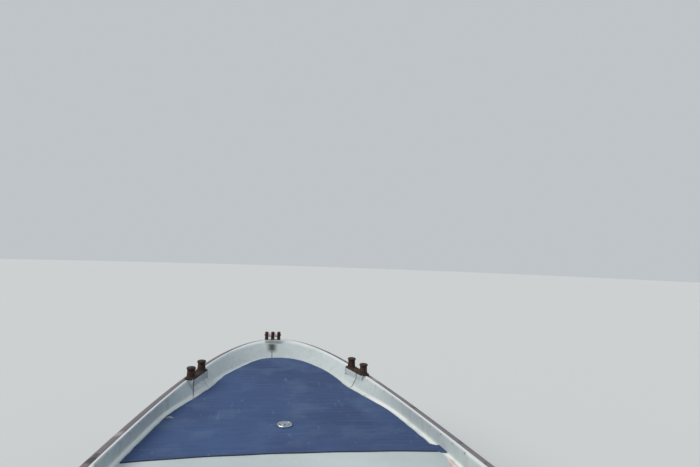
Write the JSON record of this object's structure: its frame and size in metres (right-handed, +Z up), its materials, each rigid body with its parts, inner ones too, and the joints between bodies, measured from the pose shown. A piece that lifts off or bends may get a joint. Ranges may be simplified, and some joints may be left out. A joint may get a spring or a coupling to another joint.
{
  "type": "open cargo motor boat",
  "caption": "Open flat-sheer cargo boat with raised non-skid foredeck, bulwark lip, deep hold, helm console, stern locker and a tilting outboard motor.",
  "frame": {"origin": "on the waterline, amidships, on the centreline", "axes": "+X towards the bow, +Y to port, +Z up"},
  "size_m": [8.552, 2.1212, 1.767],
  "materials": {
    "hull_side": "glass-fibre hull, dulled pale grey-blue gelcoat",
    "gelcoat": "glass-fibre moulding, chalked pale grey gelcoat",
    "nonskid": "dark navy grit deck paint",
    "timber": "weathered marine plywood and boards",
    "keel_timber": "hardwood under red-brown bottom paint",
    "rail_rubber": "scuffed brown-black fender rubber",
    "rusty_iron": "iron with dark rust",
    "steel": "dull stainless steel",
    "cleat_nylon": "bleached moulded nylon",
    "plate_bronze": "dulled bronze",
    "wheel_plastic": "black moulded plastic",
    "clear_sheet": "clear acrylic sheet",
    "motor_paint": "dark grey painted aluminium castings",
    "cowl_plastic": "dark grey moulded cover",
    "prop_alloy": "painted aluminium, worn at the blade edges"
  },
  "bodies": {
    "boat": {"bow": "hull_side", "hull_bottom": "hull_side", "hull_side_port": "hull_side", "hull_side_starboard": "hull_side", "transom": "hull_side", "forepeak_bottom": "hull_side", "forepeak_side_port": "hull_side", "forepeak_side_starboard": "hull_side", "false_keel": "keel_timber", "stem_band": "steel", "foredeck": "gelcoat", "nonskid_panel": "nonskid", "bulwark_fore_port": "gelcoat", "bulwark_fore_starboard": "gelcoat", "bulwark_aft_port": "gelcoat", "bulwark_aft_starboard": "gelcoat", "side_deck_fore_port": "gelcoat", "side_deck_fore_starboard": "gelcoat", "side_deck_aft_port": "gelcoat", "side_deck_aft_starboard": "gelcoat", "rub_rail_port": "rail_rubber", "rub_rail_starboard": "rail_rubber", "side_frames_port": "gelcoat", "side_frames_starboard": "gelcoat", "fore_bulkhead": "gelcoat", "door_hinge_leaf": "steel", "hold_floor": "timber", "mid_bulkhead": "gelcoat", "mid_thwart": "timber", "cockpit_floor": "timber", "helm_console": "gelcoat", "windscreen": "clear_sheet", "helm_shaft": "steel", "throttle_box": "motor_paint", "throttle_lever": "steel", "bench_locker": "gelcoat", "bench_hinge_leaf": "steel", "aft_bulkhead": "gelcoat", "aft_deck": "gelcoat", "splash_well": "gelcoat", "transom_pad": "timber", "bow_bollard_port": "rusty_iron", "bow_bollard_starboard": "rusty_iron", "stern_bollard_port": "rusty_iron", "stern_bollard_starboard": "rusty_iron", "side_cleat_port": "cleat_nylon", "side_cleat_starboard": "cleat_nylon", "stem_head": "rusty_iron", "deck_plate": "plate_bronze", "clamp_bracket": "motor_paint"},
    "door": {"forepeak_door": "gelcoat"},
    "bench_lid": {"bench_lid": "timber"},
    "wheel": {"steering_wheel": "wheel_plastic"},
    "swivel": {"swivel_bracket": "motor_paint"},
    "motor": {"motor_leg": "motor_paint", "lower_unit": "motor_paint", "cowl_pan": "motor_paint", "motor_cowl": "cowl_plastic"},
    "propeller": {"propeller": "prop_alloy"}
  },
  "joints": [
    {"name": "forepeak_door_hinge", "type": "hinge", "parent": "boat", "child": "door", "pos_m": [1.534, 0.29, 0.31], "axis": [0, 0, -1], "range_deg": [0, 110]},
    {"name": "bench_lid_hinge", "type": "hinge", "parent": "boat", "child": "bench_lid", "pos_m": [-3.23, 0, 0.472], "axis": [0, -1, 0], "range_deg": [0, 95]},
    {"name": "helm_wheel_turn", "type": "hinge", "parent": "boat", "child": "wheel", "pos_m": [-2.22, -0.4, 0.8], "axis": [1, 0, 0], "range_deg": [-540, 540]},
    {"name": "engine_tilt", "type": "hinge", "parent": "boat", "child": "swivel", "pos_m": [-3.968, 0, 0.418], "axis": [0, 1, 0], "range_deg": [0, 60]},
    {"name": "engine_steer", "type": "hinge", "parent": "swivel", "child": "motor", "pos_m": [-4.082, 0, 0.25], "axis": [0, 0, 1], "range_deg": [-30, 30]},
    {"name": "propeller_spin", "type": "hinge", "parent": "motor", "child": "propeller", "pos_m": [-4.394, 0, -0.372], "axis": [1, 0, 0], "continuous": true}
  ],
  "couplings": [
    {"joint": "helm_wheel_turn", "follows": "engine_steer", "ratio": 18}
  ]
}
